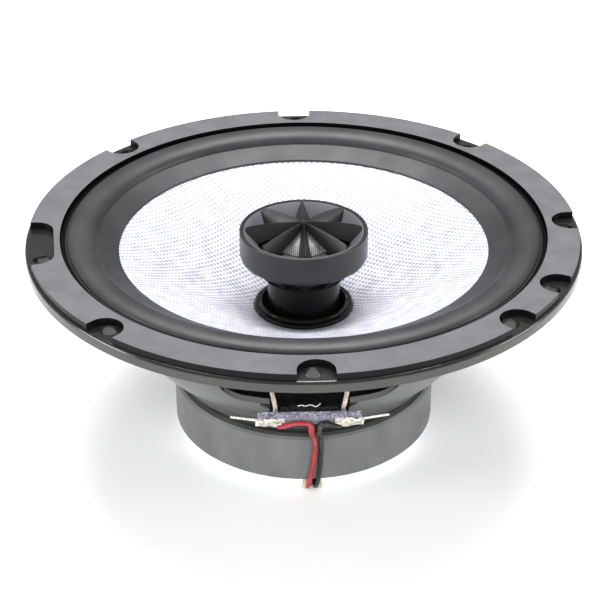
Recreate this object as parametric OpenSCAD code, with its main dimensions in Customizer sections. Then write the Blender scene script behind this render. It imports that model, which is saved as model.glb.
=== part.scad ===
// Coaxial car speaker: a pressed steel basket on a ferrite motor, a woven cone on a
// rubber surround, and a dome tweeter on a stem that stands on the motor's pole.
// The origin is the centre of the back plate's underside, +Z is the axis of the
// speaker towards the listener, and the terminals are at the front, towards -Y.

/* [Basket] */
// Outer radius of the flange
flange_r = 82.5; // [80:0.5:86]
// Height of the flange's top face above the back plate's underside
flange_top = 66.0; // [65:0.5:68]
// Thickness of the pressed steel sheet
sheet = 1.1; // [0.8:0.1:1.4]
// Depth of the turned-down edge of the flange
lip_depth = 3.2; // [2.5:0.1:4]
// Outer radius of the basket's floor
floor_r = 40.8; // [40:0.1:41.5]
// Number of windows in the basket's wall
window_count = 4; // [3:1:4]
// Half of the angle that one window spans, in degrees
window_half_angle = 24.5; // [18:0.5:28]

/* [Mounting] */
// Diameter of the circle of the screw holes
hole_circle_d = 155.0; // [150:0.5:157]
// Radius of a round screw hole
screw_hole_r = 2.5; // [2:0.1:2.8]
// Inner radius of the mounting ring
ring_inner_r = 72.15; // [72:0.05:73]
// Outer radius of the mounting ring
ring_outer_r = 81.6; // [81:0.1:82]
// Thickness of the mounting ring
ring_t = 2.0; // [1.5:0.1:2.5]
// Width of a U-shaped notch in the mounting ring
notch_w = 10.4; // [9:0.1:11.5]
// Radius that a notch reaches in to
notch_inner_r = 74.2; // [73.8:0.1:75]

/* [Motor] */
// Radius of the ferrite magnet
magnet_r = 39.9; // [38:0.1:40]
// Thickness of the ferrite magnet
magnet_t = 15.3; // [14:0.1:15.3]
// Radius of the back plate
back_plate_r = 38.6; // [37:0.1:39]
// Thickness of the back plate
back_plate_t = 3.6; // [3.4:0.1:4]
// Radius of the top plate
top_plate_r = 37.3; // [36:0.1:38]
// Thickness of the top plate
top_plate_t = 3.0; // [2.8:0.1:3.2]
// Radius of the pole
pole_r = 12.4; // [12:0.1:12.4]

/* [Cone] */
// Radius of the cone's visible outer edge
cone_edge_r = 55.0; // [54:0.1:56]
// Height of the cone's visible outer edge
cone_edge_z = 61.8; // [61:0.1:62]
// Radius of the cone's neck, at the bead of adhesive
cone_neck_r = 15.3; // [15:0.1:16]
// Height of the cone's neck
cone_neck_z = 41.0; // [40.5:0.1:41.5]
// Thickness of the woven cone
cone_t = 0.6; // [0.4:0.1:0.8]
// Inner radius of the voice coil's former
former_r = 12.8; // [12.8:0.05:13]

/* [Tweeter] */
// Outer radius of the tweeter's housing
tweeter_r = 19.2; // [18.8:0.1:19.6]
// Height of the rim of the tweeter's housing
tweeter_rim_z = 66.9; // [66.5:0.1:67.5]
// Height of the straight wall of the housing
tweeter_wall_h = 7.3; // [7:0.1:7.5]
// Radius of the housing's neck, where it meets the stem
tweeter_neck_r = 12.6; // [12:0.1:13]
// Radius of the stem
stem_r = 10.9; // [10:0.1:11]
// Number of ribs in the tweeter's guard
rib_count = 8; // [6:1:10]
// Rise of the guard's hub above the rim
hub_rise = 2.4; // [2:0.1:3]

/* [Terminals] */
// Width of the terminal board
board_w = 29.4; // [28:0.1:30]
// Thickness of the terminal board
board_t = 1.65; // [1.2:0.05:1.8]
// Length of the terminal board along the wall's slope
board_h = 7.0; // [6.5:0.1:7.5]
// Diameter of an insulated wire
wire_d = 1.4; // [1.2:0.1:1.6]
// Diameter of a braided tinsel lead
tinsel_d = 1.4; // [1.2:0.1:1.5]

/* [Hidden] */

$fn = 96;
eps = 0.01;

// Heights of the motor's stack
magnet_z = back_plate_t;
top_plate_z = magnet_z + magnet_t;
floor_z = top_plate_z + top_plate_t;
pole_top = floor_z + 0.5;

// Outline of the basket's wall, as its outer surface
ledge_inner_r = 45.6;
ledge_r = 48.6;
ledge_z = 32.0;
wall_top_r = 68.6;
wall_top_z = 57.4;
throat_r = 69.6;

// Windows
window_inner_r = 55.4;
window_outer_r = 66.8;
window_corner_r = 4.5;

// Angles from the front of the ring's notches, of the two ends of its one wide notch,
// and of the places that have a slot below them
notch_angles = [-135, -45, 0, 45, 62, 90, 135, 180];
wide_notch = [-90, -79];
// Turn of the ring on the flange, as it was glued on
ring_turn = 0.6;
hole_angles = [-135, -45, 45, 135];
slot_angles = [-79, 0, 62, 90, 180];
slot_w = 4.4;
slot_inner_r = 75.0;
slot_outer_r = 80.4;
// Collars drawn down round the screw holes and slots
collar_t = 0.8;
collar_h = 2.2;

// Surround
roll_inner_r = 61.3;
roll_outer_r = 70.2;
roll_h = 2.4;
rubber_t = 0.7;
landing_inner_r = cone_edge_r;
landing_end = 59.8;
skirt_r = 72.0;

// Voice coil
former_t = 0.25;
winding_t = 0.55;
winding_h = 8.0;
coil_z = floor_z - top_plate_t / 2 - winding_h / 2;
former_top = 42.7;
gap_r = 14.1;

// Spider
spider_r = 47.6;
spider_z = ledge_z + 0.6;
spider_t = 0.5;
spider_waves = 6;
spider_wave_h = 0.9;

// Yoke
bore_r = 4.7;
nut_r = 8.0;
nut_pocket_r = 9.0;
nut_t = 2.4;
nut_pocket_h = 6.0;
spigot_end = 3.0;
groove_x = 1.0;
groove_w = 4.6;
groove_h = 2.2;

// Tweeter
bowl_r = 17.0;
bowl_z = 57.2;
neck_z = 52.2;
cage_z = 52.9;
cage_h = 5.3;
cage_windows = 12;
cage_window_w = 4.7;
tweeter_wall_t = 1.2;
tweeter_floor_z = 56.8;
guard_r = tweeter_r - tweeter_wall_t - 0.02;
guard_depth = 4.6;
mouth_r = 14.0;
hub_r = 0.9;
dome_r = 8.8;
dome_h = 3.9;
dome_z = 61.9;
dome_t = 0.25;
ring_seat_t = 0.5;
roll_r = 13.2;
roll_rise = 1.3;
t_magnet_r = 7.8;
cup_r = 10.6;
cup_bore_r = 9.2;

// Wall frame of the terminal board: local x is across, local -y is away from the wall,
// local z is up its slope
wall_lean = 39;
board_r = 53.9;
board_z = 37.7;
eyelet_x = 9.6;
rivet_x = 5.4;
rivet_drop = 5.2;
lug_pad = 7.6;
lug_reach = 7.7;
lug_t = 0.6;
lug_twist = 18;

// Routes of the wires, from the board to the motor's centre
wire_r = wire_d / 2;
red_route = [[-9.0, -54.1, 32.9], [-7.0, -54.2, 33.1], [-4.8, -54.2, 33.9], [-2.4, -54.3, 34.1],
    [-0.8, -54.1, 33.8], [0.2, -53.4, 32.9], [0.5, -52.3, 31.3], [0.8, -47.8, 26.6],
    [1.4, -43.9, 22.6], [1.9, -42.3, 20.0], [2.1, -41.3, 16.5], [1.8, -41.0, 12.0],
    [1.0, -41.0, 7.0], [0.3, -40.9, 3.6], [-0.1, -39.8, 1.5], [-0.2, -37.6, 1.1],
    [-0.2, -28.0, 1.1], [-0.2, -16.0, 1.1], [-0.4, -8.0, 1.1], [-1.0, -3.0, 1.4],
    [-1.1, -0.8, 3.2], [-1.1, 0, 8.0], [-1.1, 0, 20.0], [-1.1, 0, 40.0], [-1.1, 0, 55.0]];
black_route = [[9.0, -54.1, 32.9], [7.0, -54.2, 33.1], [5.0, -54.2, 33.9], [3.6, -54.0, 33.6],
    [2.9, -53.3, 32.6], [2.9, -52.0, 31.0], [2.9, -47.6, 26.0], [3.4, -43.6, 22.0],
    [3.8, -41.9, 19.0], [3.8, -40.9, 15.0], [3.5, -40.8, 9.0], [2.9, -40.8, 4.0],
    [2.3, -39.8, 1.5], [2.1, -37.6, 1.1], [2.1, -28.0, 1.1], [2.1, -16.0, 1.1], [1.8, -8.0, 1.1],
    [1.2, -3.0, 1.4], [1.1, -0.8, 3.2], [1.1, 0, 8.0], [1.1, 0, 20.0], [1.1, 0, 40.0],
    [1.1, 0, 55.0]];
sleeve_route = [[0.5, -52.3, 31.3], [0.8, -47.8, 26.6], [1.4, -43.9, 22.6]];
tinsel_route = [[9.6, -53.7, 35.04], [9.6, -53.1, 35.53], [9.6, -52.3, 36.15], [9.6, -51.8, 36.75],
    [9.6, -51.8, 37.5], [9.6, -52.4, 38.4], [9.7, -53.4, 39.5], [9.9, -54.0, 40.9], [10.3, -53.6, 42.9],
    [11.0, -51.2, 45.6], [11.8, -46.0, 48.0], [12.2, -40.0, 49.6], [11.8, -35.0, 49.6],
    [11.0, -31.6, 48.8]];

// Recess in the front window's lower edge, where the capacitor lies
recess_x = [-9.0, 9.5];
recess_z = 37.5;

// Notches in that edge that let the tinsel leads down to the board's eyelets
lead_notch_x = 9.7;
lead_notch_w = 3.0;
lead_notch_z = 34.8;

// Points of an arc round a centre, from one angle to another
function arc(cx, cy, r, from, to, steps = 8) =
    [for (i = [0:steps]) let (a = from + (to - from) * i / steps) [cx + r * cos(a), cy + r * sin(a)]];

// Height of the cone's upper surface at a radius
function cone_z(r) = cone_neck_z + (r - cone_neck_r) * cone_slope;
cone_slope = (cone_edge_z - cone_neck_z) / (cone_edge_r - cone_neck_r);

// Unit direction of a polyline at one of its points
function unit(v) = v / norm(v);
function heading(p, i) = unit(p[min(i + 1, len(p) - 1)] - p[max(i - 1, 0)]);
function side_of(d) = unit(cross(d, abs(d[0]) < 0.9 ? [1, 0, 0] : [0, 1, 0]));

// A round tube of radius r swept along the points p
module tube(p, r, sides = 8) {
    rings = [for (i = [0:len(p) - 1]) let (d = heading(p, i), u = side_of(d), v = cross(d, u))
        for (k = [0:sides - 1]) let (a = 360 * k / sides) p[i] + r * (cos(a) * u + sin(a) * v)];
    last = (len(p) - 1) * sides;
    walls = [for (i = [0:len(p) - 2]) for (k = [0:sides - 1]) let (n = (k + 1) % sides, b = i * sides)
        [b + k, b + n, b + sides + n, b + sides + k]];
    ends = [[for (k = [sides - 1:-1:0]) k], [for (k = [0:sides - 1]) last + k]];
    polyhedron(rings, concat(walls, ends));
}

// A flat ring between two radii, standing on z
module ring(inner, outer, z, h) {
    translate([0, 0, z]) difference() {
        cylinder(r = outer, h = h);
        translate([0, 0, -eps]) cylinder(r = inner, h = h + 2 * eps);
    }
}

// A wedge from the axis that spans half an angle each side of the front
module wedge(half, r, h) {
    reach = r / cos(half);
    linear_extrude(height = h)
        polygon([[0, 0], [-reach * sin(half), -reach * cos(half)], [reach * sin(half), -reach * cos(half)]]);
}

// Places its children at each of the given angles from the front
module at_angles(angles) {
    for (a = angles) rotate([0, 0, a]) children();
}

// Places its children in the frame of the terminal board
module wall_frame() {
    translate([0, -board_r, board_z]) rotate([wall_lean, 0, 0]) children();
}

// A point at a radius and an angle from the front
function polar(r, a) = [r * sin(a), -r * cos(a)];

// Points of a window's rounded corner, round a centre at radius rc, between two directions
function corner(rc, from, to, steps = 4) =
    let (r = window_corner_r, c = polar(rc, window_half_angle - asin(r / rc)))
    [for (i = [0:steps]) c + polar(r, from + (to - from) * i / steps)];

// One half of a window's outline, from its outer edge's middle to its inner edge's middle
window_half_outline = let (r = window_corner_r, w = window_half_angle,
    outer_a = w - asin(r / (window_outer_r - r)), inner_a = w - asin(r / (window_inner_r + r)))
    concat([for (i = [0:3]) polar(window_outer_r, outer_a * i / 4)],
        corner(window_outer_r - r, outer_a, w + 90), corner(window_inner_r + r, w + 90, inner_a + 180),
        [for (i = [3:-1:0]) polar(window_inner_r, inner_a * i / 4)]);

// A window's cutter: a sector with rounded corners
module window_cut(h) {
    half = window_half_outline;
    n = len(half);
    linear_extrude(height = h)
        polygon(concat(half, [for (i = [n - 2:-1:1]) [-half[i][0], half[i][1]]]));
}

// A radial slot's cutter with round ends
module slot_cut(inner, outer, w, z, h) {
    translate([0, -inner - w / 2, z]) cylinder(r = w / 2, h = h, $fn = 48);
    translate([0, -outer + w / 2, z]) cylinder(r = w / 2, h = h, $fn = 48);
    translate([-w / 2, -outer + w / 2, z]) cube([w, outer - inner - w, h]);
}

module basket() {
    s = sheet;
    outline = concat(
        [[20, floor_z], [floor_r - 2, floor_z]],
        arc(floor_r - 2, floor_z + 2, 2, -70, -20, 3),
        [[ledge_inner_r, ledge_z - 1.0], [ledge_r, ledge_z], [wall_top_r, wall_top_z]],
        [[throat_r, wall_top_z + 2.0], [throat_r, flange_top - s - 1.2], [throat_r + 1.2, flange_top - s]],
        [[flange_r - s - 0.6, flange_top - s], [flange_r - s, flange_top - s - 0.6]],
        [[flange_r - s, flange_top - lip_depth], [flange_r, flange_top - lip_depth]],
        arc(flange_r - 1, flange_top - 1, 1, 0, 90, 6),
        [[throat_r - s + 0.9, flange_top], [throat_r - s, flange_top - 0.9]],
        [[throat_r - s, wall_top_z + 2.4], [wall_top_r - s - 0.3, wall_top_z + 0.6]],
        [[ledge_r - 0.9, ledge_z + s * 0.55], [ledge_inner_r - 1.3, ledge_z - 0.2]],
        [[floor_r - 1.5, floor_z + s + 1.1], [floor_r - 2.6, floor_z + s], [20, floor_z + s]]);
    collar_z = flange_top - s - collar_h;
    color([0.07, 0.07, 0.08]) difference() {
        union() {
            rotate_extrude($fn = 180) polygon(outline);
            at_angles(hole_angles) translate([0, -hole_circle_d / 2, collar_z])
                cylinder(r = screw_hole_r + collar_t, h = collar_h + s / 2, $fn = 48);
            at_angles(slot_angles) slot_cut(slot_inner_r - collar_t, slot_outer_r + collar_t,
                slot_w + 2 * collar_t, collar_z, collar_h + s / 2);
        }
        at_angles([for (k = [0:window_count - 1]) 360 * k / window_count])
            translate([0, 0, floor_z + s + 1]) window_cut(flange_top - floor_z - 3);
        at_angles(hole_angles)
            translate([0, -hole_circle_d / 2, flange_top - 5]) cylinder(r = screw_hole_r, h = 10, $fn = 48);
        at_angles(slot_angles) slot_cut(slot_inner_r, slot_outer_r, slot_w, flange_top - 5, 10);
        at_angles([0, 120, 240]) translate([0, -30, floor_z - 1]) cylinder(r = 1.5, h = 4, $fn = 32);
        translate([recess_x[0], -58, recess_z]) cube([recess_x[1] - recess_x[0], 10, 6]);
        for (x = [-lead_notch_x, lead_notch_x])
            translate([x - lead_notch_w / 2, -58, lead_notch_z]) cube([lead_notch_w, 11, 8]);
    }
}

module notch_cut() {
    translate([0, -notch_inner_r - notch_w / 2, flange_top - 1]) cylinder(r = notch_w / 2, h = 5);
    translate([-notch_w / 2, -notch_inner_r - notch_w / 2 - 10, flange_top - 1]) cube([notch_w, 10, 5]);
}

module mounting_ring() {
    color([0.36, 0.36, 0.39]) difference() {
        ring(ring_inner_r, ring_outer_r, flange_top, ring_t);
        at_angles([for (a = notch_angles) a + ring_turn]) notch_cut();
        hull() at_angles([for (a = wide_notch) a + ring_turn]) notch_cut();
    }
}

module surround() {
    t = rubber_t;
    mid_r = (roll_inner_r + roll_outer_r) / 2;
    half = (roll_outer_r - roll_inner_r) / 2;
    crease_z = cone_edge_z + t + (roll_inner_r - landing_inner_r) * 0.43;
    skirt_z = flange_top + t;
    steps = 12;
    // Half-round roll that joins the crease to the skirt
    function roll(k, lift) = let (a = 180 - 180 * k / steps, u = k / steps)
        [mid_r + (half - lift * 0.5) * cos(a), crease_z * (1 - u) + skirt_z * u + roll_h * sin(a) - lift];
    under = [for (k = [steps:-1:0]) roll(k, t)];
    over = [for (k = [0:steps]) roll(k, 0)];
    color([0.22, 0.22, 0.23]) rotate_extrude($fn = 128) polygon(concat(
        [[landing_inner_r, cone_z(landing_inner_r) + 0.02], [landing_inner_r, cone_edge_z + t]], over,
        [[skirt_r, skirt_z], [skirt_r, flange_top], [roll_outer_r + 0.3, flange_top]],
        under, [[landing_end, cone_z(landing_end) + 0.02]]));
}

module spider() {
    inner = former_r + former_t;
    flat_r = inner + 3.0;
    edge_r = spider_r - 3.4;
    steps = spider_waves * 8;
    span = edge_r - flat_r;
    function wave(k, lift) = [flat_r + span * k / steps,
        spider_z + lift + spider_wave_h * sin(360 * spider_waves * k / steps)];
    color([0.07, 0.07, 0.07]) rotate_extrude() polygon(concat(
        [[inner, spider_z], [flat_r, spider_z]], [for (k = [1:steps - 1]) wave(k, 0)],
        [[edge_r, spider_z], [spider_r, spider_z], [spider_r, spider_z + spider_t]],
        [[edge_r, spider_z + spider_t]], [for (k = [steps - 1:-1:1]) wave(k, spider_t)],
        [[flat_r, spider_z + spider_t], [inner, spider_z + spider_t]]));
}

module cone() {
    inner = former_r + former_t;
    outer = landing_end - 0.2;
    color([0.86, 0.86, 0.90]) rotate_extrude($fn = 128) polygon([[inner, cone_z(inner) - cone_t],
        [outer, cone_z(outer) - cone_t], [outer, cone_z(outer)], [inner, cone_z(inner)]]);
}

module coil_former() {
    color([0.12, 0.11, 0.10]) ring(former_r, former_r + former_t, coil_z, former_top - coil_z);
}

module coil_winding() {
    color([0.72, 0.36, 0.16]) ring(former_r + former_t, former_r + former_t + winding_t, coil_z, winding_h);
}

module neck_adhesive() {
    inner = former_r + former_t;
    outer = cone_neck_r;
    color([0.03, 0.03, 0.03]) rotate_extrude() polygon([[inner, cone_z(inner)], [outer, cone_z(outer)],
        [outer - 0.3, cone_z(outer) + 0.35], [outer - 0.9, former_top - 0.9], [inner, former_top - 0.5]]);
}

module top_plate() {
    color([0.30, 0.31, 0.32]) difference() {
        ring(gap_r, top_plate_r, top_plate_z, top_plate_t);
        at_angles([0, 120, 240]) translate([0, -30, top_plate_z + 1]) cylinder(r = 1.5, h = 3, $fn = 32);
    }
}

module magnet() {
    c = 0.7;
    inner = 16.0;
    color([0.50, 0.50, 0.52]) rotate_extrude($fn = 180) polygon([[inner, magnet_z], [magnet_r - c, magnet_z],
        [magnet_r, magnet_z + c], [magnet_r, magnet_z + magnet_t - c], [magnet_r - c, magnet_z + magnet_t],
        [inner, magnet_z + magnet_t]]);
}

module yoke() {
    c = 0.5;
    color([0.80, 0.82, 0.83]) difference() {
        rotate_extrude($fn = 180) polygon([[bore_r, 0], [back_plate_r - 1.2, 0], [back_plate_r, 1.2],
            [back_plate_r, back_plate_t], [pole_r + 1.5, back_plate_t], [pole_r, back_plate_t + 1.5],
            [pole_r, pole_top - c], [pole_r - c, pole_top], [bore_r, pole_top]]);
        translate([0, 0, -eps]) cylinder(r = nut_pocket_r, h = nut_pocket_h + eps);
        translate([groove_x - groove_w / 2, -back_plate_r - 1, -1])
            cube([groove_w, back_plate_r - 7, groove_h + 1]);
        translate([groove_x, -back_plate_r - 0.6, -1])
            cylinder(r = groove_w / 2, h = back_plate_t + 2, $fn = 48);
    }
}

module basket_rivets() {
    color([0.62, 0.63, 0.65]) at_angles([0, 120, 240]) translate([0, -30, 0]) {
        translate([0, 0, top_plate_z + 1]) cylinder(r = 1.5, h = top_plate_t - 1 + sheet, $fn = 32);
        translate([0, 0, floor_z + sheet]) cylinder(r = 2.6, h = 0.8, $fn = 32);
    }
}

module stem() {
    waist_r = 9.6;
    hollow_r = 2.9;
    color([0.06, 0.06, 0.06]) rotate_extrude() polygon([[hollow_r, spigot_end], [bore_r - 0.05, spigot_end],
        [bore_r - 0.05, pole_top], [waist_r, pole_top], [waist_r, 33], [stem_r, 36],
        [stem_r, neck_z], [hollow_r, neck_z]]);
}

module stem_nut() {
    color([0.75, 0.75, 0.72]) translate([0, 0, nut_pocket_h - nut_t]) difference() {
        cylinder(r = nut_r, h = nut_t, $fn = 6);
        translate([0, 0, -1]) cylinder(r = bore_r - 0.05, h = nut_t + 2);
    }
}

module tweeter_housing() {
    wall_z = tweeter_rim_z - tweeter_wall_h;
    inner = tweeter_r - tweeter_wall_t;
    seat_z = tweeter_rim_z - guard_depth - ring_seat_t;
    well_r = roll_r + 1.6;
    hollow_r = 3.2;
    color([0.20, 0.20, 0.21]) difference() {
        rotate_extrude() polygon(concat(
            [[hollow_r, neck_z], [tweeter_neck_r, neck_z], [bowl_r, bowl_z]],
            arc(tweeter_r - 3, wall_z, 3, -50, 0, 6),
            arc(tweeter_r - 0.4, tweeter_rim_z - 0.4, 0.4, 0, 90, 4),
            [[inner + 0.3, tweeter_rim_z], [inner, tweeter_rim_z - 0.3], [inner, seat_z]],
            [[well_r, seat_z], [well_r, tweeter_floor_z + 1], [well_r - 1, tweeter_floor_z]],
            [[hollow_r, tweeter_floor_z]]));
        at_angles([for (k = [0:cage_windows - 1]) 360 * (k + 0.5) / cage_windows])
            translate([-cage_window_w / 2, -tweeter_r + 0.3, cage_z]) cube([cage_window_w, 8, cage_h]);
    }
}

// One rib of the guard: a leaf that broadens and deepens towards the rim, with an arched ridge
module rib() {
    // Radius, half width and depth below the ridge's top of each station
    stations = [[0.2, 0.45, 1.6], [4, 0.8, 2.7], [8, 1.3, 3.9], [11.5, 1.75, 5.2], [14, 2.0, 6.3],
        [17.4, 2.0, 6.4]];
    top_z = tweeter_rim_z + hub_rise;
    rise = hub_rise + 0.1;
    function ridge_z(r) = top_z - rise + rise * sqrt(1 - pow(r / (guard_r - 0.1), 2));
    last = 3 * (len(stations) - 1);
    points = [for (s = stations) each
        [[0, -s[0], ridge_z(s[0])], [-s[1], -s[0], top_z - s[2]], [s[1], -s[0], top_z - s[2]]]];
    skins = [for (b = [0:3:last - 3]) each [[b + 1, b, b + 3], [b + 1, b + 3, b + 4], [b, b + 2, b + 5],
        [b, b + 5, b + 3], [b + 2, b + 1, b + 4], [b + 2, b + 4, b + 5]]];
    polyhedron(points, concat(skins, [[0, 1, 2], [last, last + 2, last + 1]]));
}

module tweeter_guard() {
    seat_z = tweeter_rim_z - guard_depth;
    color([0.24, 0.24, 0.25]) {
        rotate_extrude() polygon([[mouth_r, seat_z], [guard_r, seat_z], [guard_r, tweeter_rim_z - 0.25],
            [guard_r - 0.5, tweeter_rim_z - 0.25], [mouth_r + 0.4, seat_z + 1.2], [mouth_r, seat_z + 0.8]]);
        at_angles([for (k = [0:rib_count - 1]) 360 * k / rib_count]) rib();
        translate([0, 0, tweeter_rim_z + hub_rise - 1.6]) cylinder(r = hub_r, h = 1.4);
    }
}

module tweeter_cup() {
    floor_t = 0.8;
    color([0.62, 0.63, 0.64]) rotate_extrude() polygon([[1.4, tweeter_floor_z], [cup_r, tweeter_floor_z],
        [cup_r, dome_z - 1.0], [cup_bore_r, dome_z - 1.0], [cup_bore_r, tweeter_floor_z + floor_t],
        [1.4, tweeter_floor_z + floor_t]]);
}

module tweeter_magnet() {
    color([0.70, 0.70, 0.72]) ring(1.4, t_magnet_r - 0.4, tweeter_floor_z + 0.8, 2.2);
}

module tweeter_pole_plate() {
    color([0.66, 0.67, 0.68]) ring(1.4, t_magnet_r, tweeter_floor_z + 3.0, 1.2);
}

module tweeter_frame_ring() {
    color([0.10, 0.10, 0.10]) ring(roll_r, guard_r, tweeter_rim_z - guard_depth - ring_seat_t, ring_seat_t);
}

module tweeter_dome() {
    // Sphere radius from the dome's width and height
    ball_r = (dome_r * dome_r + dome_h * dome_h) / (2 * dome_h);
    half_angle = asin(dome_r / ball_r);
    centre_z = dome_z + dome_h - ball_r;
    color([0.62, 0.62, 0.63]) rotate_extrude() polygon(concat(
        arc(0, centre_z, ball_r, 90 - half_angle, 90, 10),
        arc(0, centre_z, ball_r - dome_t, 90, 90 - half_angle, 10)));
}

module tweeter_dome_roll() {
    mid_r = (dome_r + roll_r) / 2;
    half = (roll_r - dome_r) / 2 - 0.05;
    function flat_arc(r, h, a) = [mid_r + r * cos(a), h * sin(a)];
    color([0.10, 0.10, 0.11]) translate([0, 0, dome_z]) rotate_extrude() polygon(concat(
        [for (k = [8:-1:0]) flat_arc(half, roll_rise, 22.5 * k)],
        [for (k = [0:8]) flat_arc(half - dome_t, roll_rise - dome_t, 22.5 * k)]));
}

module tweeter_coil() {
    color([0.72, 0.36, 0.16]) ring(t_magnet_r + 0.5, t_magnet_r + 0.8, dome_z - 2.8, 2.6);
}

module terminal_board() {
    color([0.42, 0.38, 0.46]) wall_frame() difference() {
        translate([-board_w / 2, -board_t, -board_h]) cube([board_w, board_t, board_h]);
        for (hole = [[-eyelet_x, -2.2], [eyelet_x, -2.2], [-rivet_x, -rivet_drop], [rivet_x, -rivet_drop]])
            translate([hole[0], 1, hole[1]]) rotate([90, 0, 0]) cylinder(r = 1.0, h = 4, $fn = 32);
    }
}

module board_rivets() {
    color([0.70, 0.71, 0.72]) wall_frame() for (x = [-rivet_x, rivet_x])
        translate([x, 0, -rivet_drop]) rotate([90, 0, 0]) {
            translate([0, 0, -0.3]) cylinder(r = 1.0, h = board_t + 0.3, $fn = 32);
            translate([0, 0, board_t]) cylinder(r = 1.5, h = 0.4, $fn = 32);
        }
}

// A soldering lug: a pad on the board and a flat blade that points outwards
module lug(side, blade_w) {
    pad_h = 4.8;
    wall_frame() translate([side * board_w / 2, -board_t, -board_h / 2]) mirror([side < 0 ? 1 : 0, 0, 0]) {
        translate([-lug_pad, -lug_t, -pad_h / 2]) cube([lug_pad + 0.6, lug_t, pad_h]);
        translate([0, 0, pad_h / 2]) rotate([lug_twist, 0, 8])
            translate([0.15, -lug_t, -blade_w]) cube([lug_reach - 0.15, lug_t, blade_w]);
    }
}

module lug_positive() {
    color([0.85, 0.85, 0.84]) lug(-1, 4.8);
}

module lug_negative() {
    color([0.85, 0.85, 0.84]) lug(1, 2.8);
}

module solder_joints() {
    color([0.90, 0.90, 0.90]) wall_frame() for (side = [-1, 1])
        translate([side * 10.6, -board_t - lug_t, -3.6]) intersection() {
            sphere(r = 2.2);
            translate([-5, -5, -5]) cube([10, 5, 10]);
        }
}

module tinsel_lead_left() {
    color([0.82, 0.78, 0.70]) mirror([1, 0, 0]) tube(tinsel_route, tinsel_d / 2);
}

module tinsel_lead_right() {
    color([0.82, 0.78, 0.70]) tube(tinsel_route, tinsel_d / 2);
}

module capacitor() {
    r = 2.2;
    length = 8.8;
    color([0.05, 0.05, 0.06]) translate([-5.6, -52.9, 39.9]) rotate([0, 90, 0]) {
        cylinder(r = r - 0.3, h = length, $fn = 48);
        translate([0, 0, 0.5]) cylinder(r = r, h = length - 1.6, $fn = 48);
    }
}

module wire_red() {
    color([0.75, 0.06, 0.10]) tube(red_route, wire_r);
}

module wire_black() {
    color([0.06, 0.07, 0.06]) tube(black_route, wire_r);
}

module wire_sleeve() {
    color([0.80, 0.16, 0.18]) tube(sleeve_route, wire_r + 0.25);
}

module wire_adhesive() {
    r = 0.9;
    color([0.78, 0.72, 0.60]) for (side = [-1, 1])
        translate([groove_x + side * (groove_w / 2 - r - 0.1), -back_plate_r - 0.4, 0.6])
            cylinder(r = r, h = 2.8, $fn = 32);
}

basket();
mounting_ring();
surround();
spider();
cone();
coil_former();
coil_winding();
neck_adhesive();
top_plate();
magnet();
yoke();
basket_rivets();
stem();
stem_nut();
tweeter_housing();
tweeter_guard();
tweeter_cup();
tweeter_magnet();
tweeter_pole_plate();
tweeter_frame_ring();
tweeter_dome();
tweeter_dome_roll();
tweeter_coil();
terminal_board();
board_rivets();
lug_positive();
lug_negative();
solder_joints();
tinsel_lead_left();
tinsel_lead_right();
capacitor();
wire_red();
wire_black();
wire_sleeve();
wire_adhesive();
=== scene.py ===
import math

import bpy
import numpy as np
from mathutils import Euler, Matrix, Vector


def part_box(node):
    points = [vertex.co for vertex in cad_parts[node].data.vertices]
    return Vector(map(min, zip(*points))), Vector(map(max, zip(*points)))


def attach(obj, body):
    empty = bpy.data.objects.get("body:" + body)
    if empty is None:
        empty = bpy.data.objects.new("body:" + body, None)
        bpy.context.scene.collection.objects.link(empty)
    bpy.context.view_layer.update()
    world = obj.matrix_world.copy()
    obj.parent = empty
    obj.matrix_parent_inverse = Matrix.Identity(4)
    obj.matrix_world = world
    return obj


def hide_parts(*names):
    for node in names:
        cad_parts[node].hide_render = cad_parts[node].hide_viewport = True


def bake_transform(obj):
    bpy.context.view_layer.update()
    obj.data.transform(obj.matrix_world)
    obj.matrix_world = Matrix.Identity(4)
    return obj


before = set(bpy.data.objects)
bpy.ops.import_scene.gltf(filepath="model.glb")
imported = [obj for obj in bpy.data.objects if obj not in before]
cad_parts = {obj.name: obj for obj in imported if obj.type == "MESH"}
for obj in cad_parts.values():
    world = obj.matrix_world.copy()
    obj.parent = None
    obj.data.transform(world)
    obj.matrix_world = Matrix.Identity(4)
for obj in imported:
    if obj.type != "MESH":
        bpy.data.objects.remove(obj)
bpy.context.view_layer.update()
MM = 0.001


# Camera: a long lens a little above the speaker, looking down on its front edge

FLANGE_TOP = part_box("basket")[1].z
TURN = math.radians(1.8)
CAMERA_ELEVATION = math.radians(28.4)
CAMERA_DISTANCE = 0.5432
CAMERA_PITCH = math.radians(30.56)
LENS_MM = 109.3
LENS_SHIFT = -0.0062
SKY_STRENGTH = 0.36
FLOOR_REACH = 3.0
FLOOR_GAP = 0.0002


def make_camera():
    data = bpy.data.cameras.new("camera")
    data.lens = LENS_MM
    data.shift_x = LENS_SHIFT
    cam = bpy.data.objects.new("camera", data)
    bpy.context.scene.collection.objects.link(cam)
    level = CAMERA_DISTANCE * math.cos(CAMERA_ELEVATION)
    rise = CAMERA_DISTANCE * math.sin(CAMERA_ELEVATION)
    cam.location = (-level * math.sin(TURN), -level * math.cos(TURN), FLANGE_TOP + rise)
    cam.rotation_euler = Euler((math.pi / 2 - CAMERA_PITCH, 0.0, -TURN))
    bpy.context.scene.camera = cam


def area_light(name, place, target, size, watts, mirrored=True):
    """A softbox that faces its target. Glossy surfaces show no image of one that isn't mirrored."""
    data = bpy.data.lights.new(name, "AREA")
    data.shape = "RECTANGLE"
    data.size, data.size_y = size
    data.energy = watts
    lamp = bpy.data.objects.new(name, data)
    bpy.context.scene.collection.objects.link(lamp)
    lamp.location = place
    lamp.visible_glossy = mirrored
    lamp.rotation_euler = (Vector(target) - Vector(place)).to_track_quat("-Z", "Y").to_euler()


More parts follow.
